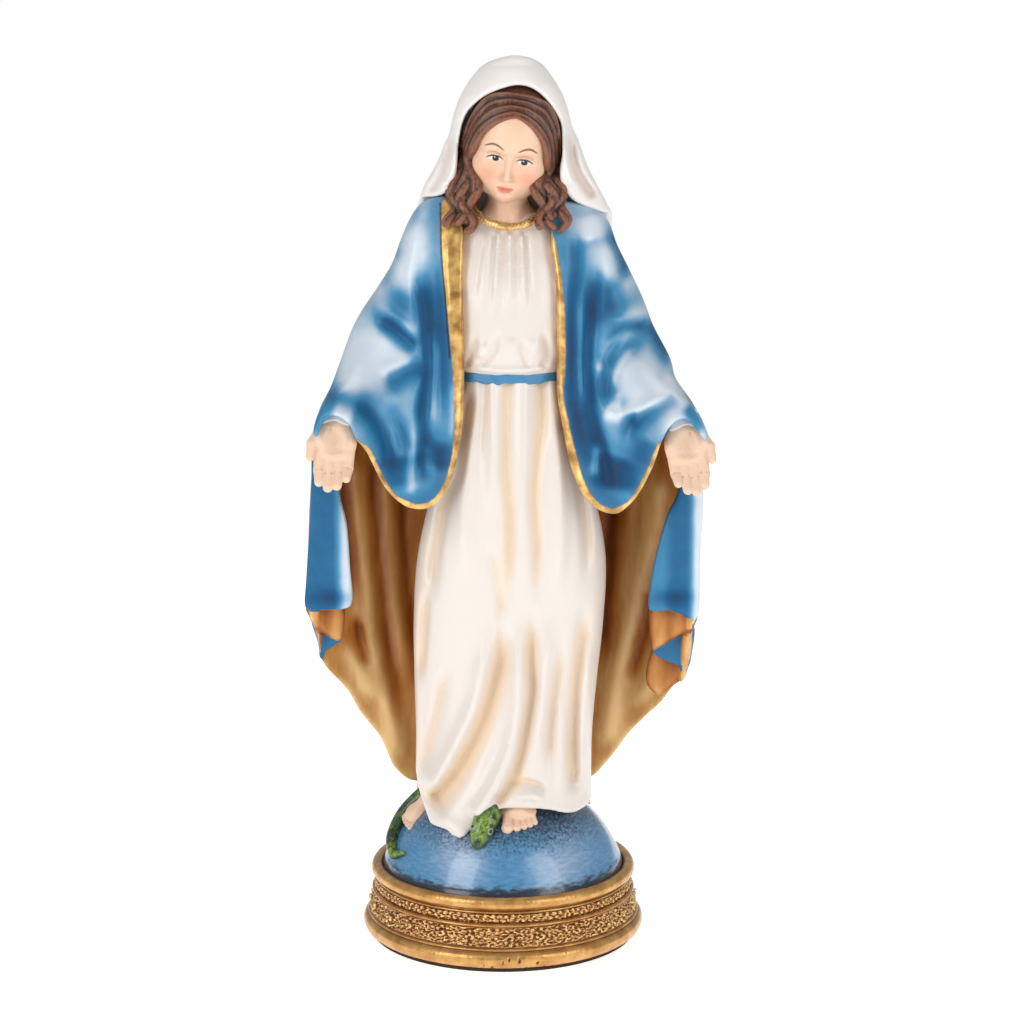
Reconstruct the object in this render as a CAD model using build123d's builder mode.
"""A standing devotional figure with open hands, cast in resin pieces and pegged together on a turned plinth.

The figure faces -Y and stands on z = 0. Its own right is at -X. All sizes are in millimetres.
An outline row of a draped piece is (z, x_low, x_high, y_front, y_back).
"""

import os
from math import cos, pi, sin, sqrt

from build123d import *

# Plinth and globe
FELT_THICK = 1.2
FELT_RADIUS = 46.2
PLINTH_RADIUS = 49.0
FOOT_TOP = 7.2
BEAD_HEIGHT = 1.3
FRIEZE_TOP = 15.6
COLLAR_TOP = 20.4
PLINTH_TOP = 25.6
# How far each moulding stands back from the plinth's widest radius.
FOOT_INSET = 2.0
FOOT_TOP_INSET = 1.6
BEAD_INSET = 0.9
FRIEZE_BOTTOM_INSET = 1.7
FRIEZE_INSET = 0.8
FRIEZE_TOP_INSET = 2.7
FILLET_INSET = 3.6
COLLAR_INSET = 4.9
RIM_INSET = 3.0
RIM_TOP_INSET = 5.0
FILLET_HEIGHT = 1.0
LIP_DROP = 0.6
SEAT_RADIUS = 42.3
SEAT_FLOOR = 20.0
SEAT_GAP = 0.3
GLOBE_RADIUS = 44.3
GLOBE_CENTRE = 11.4
# Globe radius the feet and the serpent are drawn on; they follow the globe when its radius changes.
DRAWN_ON_RADIUS = 44.3

# Hidden armature
ROD_RADIUS = 2.0
ROD_FIT = 0.05
ROD_BOTTOM = 8.0
ROD_TOP = 120.0
PEG_RADIUS = 1.0
PEG_LENGTH = 11.0
PEG_FIT = 0.05

# Figure
TOTAL_HEIGHT = 305.0
WAIST_Z = 199.3
SASH_HEIGHT = 4.4
SASH_PROUD = 1.1
NECK_TRIM_RADIUS = 1.7
HEAD_TILT = 9.0
HEAD_NOD = 14.0
HEAD_CENTRE = (2.6, -7.5, 275.0)
HEAD_WIDTH = 26.6
HEAD_HEIGHT = 35.5
NECK_RADIUS = 6.8
NECK_BOTTOM = 246.0
HAIR_THICK = 2.6
PALM_WIDTH = 14.0
PALM_LENGTH = 13.0
PALM_THICK = 5.0
FINGER_RADIUS = 1.75
FINGER_LENGTH = 9.5
CUFF_RADIUS = 7.2
CUFF_LENGTH = 6.0

GOWN_SECTIONS = [
    (40.0, -33.0, 32.5, -31.5, 22.0),
    (52.0, -31.0, 31.0, -28.0, 21.0),
    (70.0, -29.6, 30.6, -25.0, 19.0),
    (90.0, -30.4, 32.4, -24.0, 18.0),
    (112.0, -30.8, 34.6, -24.0, 18.0),
    (136.0, -29.0, 35.2, -23.5, 17.0),
    (160.0, -24.0, 30.5, -22.5, 15.0),
    (182.0, -18.0, 23.5, -20.5, 12.0),
    (WAIST_Z, -15.5, 20.5, -18.5, 10.0),
    (215.0, -18.0, 23.0, -20.5, 11.0),
    (232.0, -20.5, 25.0, -19.5, 11.0),
    (244.0, -18.0, 22.0, -14.5, 10.0),
    (253.0, -9.5, 13.8, -11.8, 8.0),
]

SLEEVE_SECTIONS = [
    (157.6, -32.0, -24.5, -31.0, -24.0),
    (163.0, -40.5, -18.0, -34.0, -15.0),
    (172.0, -46.0, -14.6, -35.0, -8.0),
    (182.0, -55.0, -13.0, -34.5, 0.0),
    (190.0, -61.0, -12.6, -33.5, 5.0),
    (200.0, -56.5, -12.8, -30.0, 8.0),
    (212.0, -49.5, -13.5, -26.5, 9.0),
    (228.0, -41.0, -15.5, -23.0, 9.0),
    (240.0, -35.5, -16.5, -18.5, 8.5),
    (249.0, -31.0, -17.0, -14.0, 7.5),
    (255.0, -26.5, -18.5, -9.0, 4.5),
]

# (z, half width outside, front edge y, back y, wall, inward reach of the front edge)
DRAPE_SECTIONS = [
    (52.5, 31.0, 8.0, 27.0, 5.0, 2.5),
    (66.0, 44.0, 4.0, 29.5, 5.0, 3.0),
    (87.0, 56.5, -1.0, 32.0, 5.5, 5.0),
    (104.0, 64.5, -6.0, 33.5, 6.0, 10.0),
    (118.0, 67.5, -9.0, 34.0, 6.0, 14.0),
    (136.0, 67.0, -9.0, 33.5, 6.0, 14.0),
    (160.0, 66.0, -7.0, 31.5, 6.0, 11.0),
    (186.0, 60.0, -2.0, 28.5, 6.5, 7.0),
    (205.0, 52.0, 1.0, 25.5, 7.0, 6.0),
    (225.0, 42.0, 2.0, 22.0, 7.0, 5.0),
    (242.0, 33.5, 2.0, 18.5, 7.0, 4.5),
    (252.0, 26.0, 2.0, 15.5, 6.5, 4.0),
]

VEIL_SECTIONS = [
    (214.0, -13.0, 16.0, 18.5, 27.0),
    (224.0, -24.0, 29.0, 12.0, 28.0),
    (238.0, -31.0, 37.5, 1.0, 26.5),
    (250.0, -30.0, 36.5, -9.0, 22.5),
    (262.0, -25.5, 31.5, -16.0, 20.0),
    (274.0, -19.2, 26.2, -20.5, 18.5),
    (286.0, -15.2, 21.6, -20.5, 16.0),
    (296.0, -11.0, 17.2, -17.0, 12.5),
    (302.0, -5.0, 11.5, -12.0, 7.5),
    (TOTAL_HEIGHT, 0.0, 6.5, -6.0, 2.0),
]

HAIR_LOCK_SECTIONS = [
    (246.2, -16.5, -11.0, -22.0, -15.0),
    (252.0, -20.0, -7.5, -22.5, -9.0),
    (262.0, -17.8, -6.5, -20.0, -3.0),
    (274.0, -15.8, -7.0, -18.5, -1.0),
    (284.0, -12.5, -5.0, -16.5, -1.0),
]
HAIR_SHIFT = 4.0
LEFT_SLEEVE_SHIFT = 6.0

OVAL_POINTS = 12

# The sash follows the dress at the waist.
SASH_LEVELS = (WAIST_Z - SASH_HEIGHT / 2, WAIST_Z + SASH_HEIGHT / 2)
WAIST_ROW = next(row[1:] for row in GOWN_SECTIONS if row[0] == WAIST_Z)

NOSE_RADIUS = 2.0
NOSE_LENGTH = 7.0
NOSE_SET_IN = 0.4
NECK_X = 1.8
NECK_Y = -3.0
NECK_TRIM_Z = 254.0
NECK_TRIM_DIP = 30.0
NECK_TRIM_REACH = 11.6

WRIST_RADIUS = 4.6
WRIST_LENGTH = 5.0
FINGER_REACH = (0.92, 1.05, 1.0, 0.78)
THUMB_TURN = 24.0
THUMB_LENGTH = 8.5

# elbow, wrist and the way the fingers point
ARMS = {
    "right": ((-46.0, -3.0, 204.0), (-55.0, -33.0, 188.5), (-0.05, -0.40, -0.91)),
    "left": ((50.0, -3.0, 204.0), (59.5, -33.0, 187.0), (0.12, -0.40, -0.90)),
}
# (share of the way, radius across, radius the other way)
FOREARM_PROFILE = [(0.0, 12.0, 12.0), (0.45, 11.0, 11.5), (0.97, 8.6, 8.6)]
FOOT_PROFILE = [(0.0, 4.0, 4.2), (0.4, 5.2, 4.0), (0.8, 5.8, 2.8), (1.0, 5.0, 1.8)]
# ankle and toe ends
FEET = {
    "right": ((-24.0, 2.0, 50.0), (-35.5, -7.5, 41.5)),
    "left": ((5.0, -12.0, 53.0), (5.2, -31.5, 45.0)),
}
# (x, y, radius) of the serpent along the globe, tail first
SERPENT_ROUTE = [
    (-34.0, -18.5, 0.7),
    (-39.0, -12.0, 1.5),
    (-38.5, -3.0, 2.2),
    (-33.0, 4.0, 2.7),
    (-24.0, 3.0, 3.0),
    (-15.0, -4.0, 3.1),
    (-8.0, -13.0, 3.0),
    (-5.5, -22.0, 2.8),
    (-7.0, -28.0, 4.0),
    (-9.0, -32.0, 3.4),
    (-10.5, -35.5, 1.4),
]
FACE_OPENING = [
    (3.0, 296.0),
    (-8.5, 291.5),
    (-13.2, 284.0),
    (-14.5, 268.0),
    (-20.5, 257.0),
    (-12.0, 243.0),
    (2.0, 240.0),
    (16.0, 243.0),
    (24.5, 256.0),
    (20.0, 268.0),
    (20.0, 281.0),
    (15.0, 291.5),
]


def oval(z, x_low, x_high, y_front, y_back):
    """Closed smooth oval face at height z."""
    x_mid, y_mid = (x_low + x_high) / 2, (y_front + y_back) / 2
    x_half, y_half = (x_high - x_low) / 2, (y_back - y_front) / 2
    turns = [2 * pi * k / OVAL_POINTS for k in range(OVAL_POINTS)]
    points = [(x_mid + x_half * cos(a), y_mid + y_half * sin(a)) for a in turns]
    with BuildSketch(Plane.XY.offset(z)) as outline:
        with BuildLine():
            Spline(*points, periodic=True)
        make_face()
    return outline.sketch.face()


def mirrored(sections):
    """The same outline rows for the other side of the figure."""
    return [(z, -high, -low, front, back) for z, low, high, front, back in sections]


def oval_stack(sections, grow=0.0):
    """Solid lofted through the oval of each outline row, low to high."""
    faces = [oval(z, low - grow, high + grow, front - grow, back + grow)
             for z, low, high, front, back in sections]
    with BuildPart() as stack:
        loft(sections=faces)
    return stack.part


def shifted(sections, step):
    """The same outline rows moved along X."""
    return [(z, low + step, high + step, front, back) for z, low, high, front, back in sections]


def left_sleeve_rows():
    """Outline rows of the left sleeve, which hangs a little wider than the right one."""
    return shifted(mirrored(SLEEVE_SECTIONS), LEFT_SLEEVE_SHIFT)


def crescent(z, half, y_edge, y_back, wall, reach):
    """Face of the mantle back at height z: an outer curve, an inner curve and two rounded front edges."""
    deep = y_back - y_edge
    outer = [
        (half - reach, y_edge),
        (half - reach * 0.3, y_edge + 0.2),
        (half, y_edge + deep * 0.22),
        (half * 0.86, y_edge + deep * 0.62),
        (half * 0.5, y_edge + deep * 0.92),
        (0, y_back),
    ]
    inner = [
        (half - reach, y_edge + wall * 0.45),
        (half - reach * 0.3 - wall * 0.5, y_edge + wall * 0.9),
        (half - wall, y_edge + deep * 0.26 + wall * 0.3),
        (half * 0.86 - wall * 0.85, y_edge + deep * 0.62 - wall * 0.3),
        (half * 0.5 - wall * 0.3, y_edge + deep * 0.92 - wall),
        (0, y_back - wall),
    ]
    whole_outer = outer + [(-x, y) for x, y in reversed(outer[:-1])]
    whole_inner = inner + [(-x, y) for x, y in reversed(inner[:-1])]
    with BuildSketch(Plane.XY.offset(z)) as outline:
        with BuildLine():
            Spline(*whole_outer)
            Spline(*whole_inner)
            Line(whole_outer[0], whole_inner[0])
            Line(whole_outer[-1], whole_inner[-1])
        make_face()
    return outline.sketch.face()


def with_globe(x, y, z):
    """Point drawn on or beside the globe, moved as the globe's radius changes."""
    spread = GLOBE_RADIUS / DRAWN_ON_RADIUS
    return (x * spread, y * spread, GLOBE_CENTRE + (z - GLOBE_CENTRE) * spread)


def on_globe(x, y, lift):
    """Point that stands lift above the globe at x and y."""
    reach = GLOBE_RADIUS + lift
    return Vector(x, y, GLOBE_CENTRE + sqrt(max(reach**2 - x**2 - y**2, 0.0)))


def serpent_faces(route):
    """Round faces across the serpent's route, each square to the way it runs."""
    centres = []
    for x, y, radius in route:
        moved = with_globe(x, y, 0)
        centres.append(on_globe(moved[0], moved[1], radius * 0.7))
    faces = []
    for k, (x, y, radius) in enumerate(route):
        ahead = centres[min(k + 1, len(route) - 1)] - centres[max(k - 1, 0)]
        up = centres[k] - Vector(0, 0, GLOBE_CENTRE)
        across = ahead.cross(up)
        with BuildSketch(Plane(origin=centres[k], x_dir=across, z_dir=ahead)) as ring:
            Circle(radius)
        faces.append(ring.sketch.face())
    return faces


def tapered(start, end, profile):
    """Solid lofted from start to end through ellipses."""
    way = Vector(*end) - Vector(*start)
    faces = []
    for share, across, upright in profile:
        plane = Plane(origin=Vector(*start) + way * share, x_dir=(way.Y, -way.X, 0), z_dir=way)
        with BuildSketch(plane) as ring:
            with BuildLine():
                turns = [2 * pi * k / OVAL_POINTS for k in range(OVAL_POINTS)]
                Spline(*[(across * cos(a), upright * sin(a)) for a in turns], periodic=True)
            make_face()
        faces.append(ring.sketch.face())
    with BuildPart() as limb:
        loft(sections=faces)
    return limb.part


def largest(shape):
    """The biggest solid of a shape."""
    return shape.solids().sort_by(SortBy.VOLUME)[-1]


def finish(shape, name):
    """Labels a piece and writes it to the parts folder."""
    shape.label = name
    export_step(shape, f"parts/{name}.step")


def trimmed(shape, *tools):
    """A piece with its neighbours cut out of it, without loose chips."""
    for tool in tools:
        shape = shape - tool
    return largest(shape)


os.makedirs("parts", exist_ok=True)

# Felt pad: the face that rests on a shelf.
with BuildPart() as felt_pad:
    Cylinder(FELT_RADIUS, FELT_THICK, align=(Align.CENTER, Align.CENTER, Align.MIN))
finish(felt_pad.part, "felt_pad")

# Plinth: one turned casting with a foot, two beads, a frieze, a collar and a rolled rim.
FRIEZE_BOTTOM = FOOT_TOP + BEAD_HEIGHT
foot_low = (PLINTH_RADIUS - FOOT_INSET, FELT_THICK)
foot_mid = (PLINTH_RADIUS, (FELT_THICK + FOOT_TOP) / 2)
foot_high = (PLINTH_RADIUS - FOOT_TOP_INSET, FOOT_TOP)
bead_mid = (PLINTH_RADIUS - BEAD_INSET, FOOT_TOP + BEAD_HEIGHT / 2)
frieze_low = (PLINTH_RADIUS - FRIEZE_BOTTOM_INSET, FRIEZE_BOTTOM)
frieze_mid = (PLINTH_RADIUS - FRIEZE_INSET, FRIEZE_BOTTOM * 0.58 + FRIEZE_TOP * 0.42)
frieze_high = (PLINTH_RADIUS - FRIEZE_TOP_INSET, FRIEZE_TOP)
fillet_mid = (PLINTH_RADIUS - FRIEZE_TOP_INSET + 0.1, FRIEZE_TOP + FILLET_HEIGHT / 2)
fillet_high = (PLINTH_RADIUS - FILLET_INSET, FRIEZE_TOP + FILLET_HEIGHT)
collar_high = (PLINTH_RADIUS - COLLAR_INSET, COLLAR_TOP)
rim_mid = (PLINTH_RADIUS - RIM_INSET, (COLLAR_TOP + PLINTH_TOP) / 2)
rim_high = (PLINTH_RADIUS - RIM_TOP_INSET, PLINTH_TOP)
with BuildPart() as plinth:
    with BuildSketch(Plane.XZ):
        with BuildLine():
            Line((0, FELT_THICK), foot_low)
            ThreePointArc(foot_low, foot_mid, foot_high)
            ThreePointArc(foot_high, bead_mid, frieze_low)
            ThreePointArc(frieze_low, frieze_mid, frieze_high)
            ThreePointArc(frieze_high, fillet_mid, fillet_high)
            Line(fillet_high, collar_high)
            ThreePointArc(collar_high, rim_mid, rim_high)
            Polyline(
                rim_high,
                (SEAT_RADIUS, PLINTH_TOP - LIP_DROP),
                (SEAT_RADIUS, SEAT_FLOOR),
                (0, SEAT_FLOOR),
                (0, FELT_THICK),
            )
        make_face()
    revolve(axis=Axis.Z)
    with BuildSketch(Plane.XY.offset(ROD_BOTTOM)):
        Circle(ROD_RADIUS + ROD_FIT)
    extrude(amount=SEAT_FLOOR - ROD_BOTTOM, mode=Mode.SUBTRACT)
finish(plinth.part, "plinth")

# Globe: a dome that drops into the plinth's seat.
with BuildPart() as globe_ball:
    with Locations((0, 0, GLOBE_CENTRE)):
        Sphere(GLOBE_RADIUS)
with BuildPart() as globe:
    add(globe_ball.part)
    with BuildSketch(Plane.XY.offset(SEAT_FLOOR)):
        Circle(SEAT_RADIUS - SEAT_GAP)
    extrude(amount=GLOBE_RADIUS, mode=Mode.INTERSECT)
    with BuildSketch(Plane.XY.offset(SEAT_FLOOR)):
        Circle(ROD_RADIUS + ROD_FIT)
    extrude(amount=GLOBE_RADIUS, mode=Mode.SUBTRACT)
finish(globe.part, "globe")

# Armature rod: ties the plinth, globe and dress together.
with BuildPart() as armature_rod:
    with BuildSketch(Plane.XY.offset(ROD_BOTTOM)):
        Circle(ROD_RADIUS)
    extrude(amount=ROD_TOP - ROD_BOTTOM)
    chamfer(armature_rod.edges().filter_by(GeomType.CIRCLE), length=0.4)
finish(armature_rod.part, "armature_rod")

# Serpent: a tapering tube that lies on the globe, from its tail to its neck, and a wedge head.
with BuildPart() as serpent_tube:
    loft(sections=serpent_faces(SERPENT_ROUTE))
serpent = trimmed(serpent_tube.part, globe_ball.part)

# Feet: bare toes that show below the hem.
feet = {}
for side, (ankle, toe) in FEET.items():
    feet[side] = trimmed(tapered(with_globe(*ankle), with_globe(*toe), FOOT_PROFILE), globe_ball.part, serpent)

# Head and neck, tilted to the figure's left and nodding.
with BuildPart() as head_egg:
    with BuildSketch(Plane.XZ):
        with BuildLine():
            Spline(
                (0, -HEAD_HEIGHT / 2),
                (HEAD_WIDTH * 0.36, -HEAD_HEIGHT * 0.29),
                (HEAD_WIDTH / 2, HEAD_HEIGHT * 0.1),
                (HEAD_WIDTH * 0.36, HEAD_HEIGHT * 0.39),
                (0, HEAD_HEIGHT / 2),
                tangents=((1, 0), (-1, 0)),
            )
            Line((0, HEAD_HEIGHT / 2), (0, -HEAD_HEIGHT / 2))
        make_face()
    revolve(axis=Axis.Z)
head_place = Location(HEAD_CENTRE, (HEAD_NOD, HEAD_TILT, 0))
neck_length = HEAD_CENTRE[2] - NECK_BOTTOM
nose_place = head_place * Location((0, -HEAD_WIDTH / 2 + NOSE_SET_IN, -HEAD_HEIGHT * 0.12))
with BuildPart() as head:
    add(head_egg.part.moved(head_place))
    with Locations(nose_place):
        Cone(NOSE_RADIUS, NOSE_RADIUS * 0.4, NOSE_LENGTH)
    with Locations((NECK_X, NECK_Y, NECK_BOTTOM)):
        Cylinder(NECK_RADIUS, neck_length, align=(Align.CENTER, Align.CENTER, Align.MIN))

# Hands, cuffs and their pegs.
hands, cuffs, pegs, wrists, forearms = {}, {}, {}, {}, {}
for side, (elbow, wrist, fingers) in ARMS.items():
    outward = -1 if side == "right" else 1
    hand_plane = Plane(origin=wrist, x_dir=(outward, 0, 0), z_dir=fingers)
    with BuildPart(hand_plane) as hand:
        Cylinder(WRIST_RADIUS, WRIST_LENGTH, align=(Align.CENTER, Align.CENTER, Align.MIN))
        with BuildSketch(hand_plane.offset(WRIST_LENGTH * 0.6)):
            RectangleRounded(PALM_WIDTH, PALM_THICK, PALM_THICK * 0.35)
        extrude(amount=PALM_LENGTH)
        knuckle_z = WRIST_LENGTH * 0.6 + PALM_LENGTH - 0.6
        for k, reach in enumerate(FINGER_REACH):
            x = (1.5 - k) * PALM_WIDTH * 0.26
            length = FINGER_LENGTH * reach
            with Locations((x, 0, knuckle_z)):
                Cylinder(FINGER_RADIUS, length, align=(Align.CENTER, Align.CENTER, Align.MIN))
            with Locations((x, 0, knuckle_z + length)):
                Sphere(FINGER_RADIUS)
        with Locations(Location((PALM_WIDTH * 0.36, 0, WRIST_LENGTH + 2.0), (0, THUMB_TURN, 0))):
            Cylinder(FINGER_RADIUS, THUMB_LENGTH, align=(Align.CENTER, Align.CENTER, Align.MIN))
        with Locations((0, 0, 0)):
            Cylinder(PEG_RADIUS + PEG_FIT, PEG_LENGTH, mode=Mode.SUBTRACT)
    hands[side] = hand.part
    with BuildPart(hand_plane) as peg:
        Cylinder(PEG_RADIUS, PEG_LENGTH)
    pegs[side] = peg.part
    with BuildPart(hand_plane) as cuff:
        with Locations((0, 0, -CUFF_LENGTH / 2)):
            Cone(CUFF_RADIUS + 0.6, CUFF_RADIUS, CUFF_LENGTH)
            Cylinder(PEG_RADIUS + PEG_FIT, CUFF_LENGTH, mode=Mode.SUBTRACT)
    cuffs[side] = cuff.part
    forearms[side] = tapered(elbow, wrist, FOREARM_PROFILE)

# Dress: the core of the figure, hollowed below to sit on the globe.
with BuildPart() as rod_bore:
    with BuildSketch(Plane.XY.offset(ROD_BOTTOM)):
        Circle(ROD_RADIUS + ROD_FIT)
    extrude(amount=ROD_TOP - ROD_BOTTOM + 0.5)
gown = trimmed(
    oval_stack(GOWN_SECTIONS),
    globe_ball.part, serpent, feet["left"], feet["right"], rod_bore.part, head.part,
)

# Sash round the waist, and the trim round the neckline.
sash_rows = [(z, *row) for z, row in zip(SASH_LEVELS, [WAIST_ROW] * len(SASH_LEVELS))]
sash = trimmed(oval_stack(sash_rows, grow=SASH_PROUD), gown)
neck_plane = Location((NECK_X, NECK_Y, NECK_TRIM_Z), (NECK_TRIM_DIP, 0, 0))
with BuildPart() as neck_ring:
    with Locations(neck_plane):
        Torus(NECK_TRIM_REACH, NECK_TRIM_RADIUS)
        with Locations((0, NECK_TRIM_REACH, 0)):
            Box(4 * NECK_TRIM_REACH, 2 * NECK_TRIM_REACH, NECK_TRIM_REACH, mode=Mode.SUBTRACT)
neckline_trim = trimmed(neck_ring.part, gown, head.part)

# Hair: a cap over the head and one fall of locks at each side.
cap_scale = 1 + 2 * HAIR_THICK / HEAD_WIDTH
hair_cap = scale(head_egg.part, by=cap_scale).moved(head_place)
with BuildPart() as hair_mass:
    add(hair_cap)
    with Locations(head_place * Location((0, -HEAD_WIDTH, -HEAD_HEIGHT * 0.25))):
        Box(HEAD_WIDTH * 0.72, 1.7 * HEAD_WIDTH, HEAD_HEIGHT * 1.2, mode=Mode.SUBTRACT)
    add(oval_stack(HAIR_LOCK_SECTIONS))
    add(oval_stack(shifted(mirrored(HAIR_LOCK_SECTIONS), HAIR_SHIFT)))
hair = trimmed(hair_mass.part, head.part, gown, neckline_trim)

# Sleeves: the mantle over each arm, with the forearm inside it.
sleeves = {}
for side, rows in (("right", SLEEVE_SECTIONS), ("left", left_sleeve_rows())):
    body = largest(oval_stack(rows) + forearms[side])
    sleeves[side] = trimmed(body, gown, hair, cuffs[side], hands[side], pegs[side], sash)
    sleeves[side] = trimmed(sleeves[side], neckline_trim)

# Mantle back: the curved sheet that hangs behind the figure and wraps round its sides.
with BuildPart() as drape:
    loft(sections=[crescent(*row) for row in DRAPE_SECTIONS])
mantle_back = trimmed(drape.part, gown, sleeves["right"], sleeves["left"], sash, hair)

# Veil over the head and shoulders, open at the face.
with BuildPart() as face_opening:
    with BuildSketch(Plane.XZ.offset(-2.0)):
        with BuildLine():
            Spline(*FACE_OPENING, periodic=True)
        make_face()
    extrude(amount=40.0)
veil = trimmed(
    oval_stack(VEIL_SECTIONS), face_opening.part, head.part, hair, gown,
    sleeves["right"], sleeves["left"], mantle_back, neckline_trim,
)

finish(serpent, "serpent")
finish(gown, "gown")
finish(sash, "sash")
finish(neckline_trim, "neckline_trim")
finish(head.part, "head")
finish(hair, "hair")
finish(mantle_back, "mantle_back")
finish(veil, "veil")
for side in ("right", "left"):
    finish(feet[side], f"{side}_foot")
    finish(trimmed(cuffs[side], hands[side]), f"{side}_cuff")
    finish(hands[side], f"{side}_hand")
    finish(pegs[side], f"{side}_hand_peg")
    finish(sleeves[side], f"{side}_sleeve")
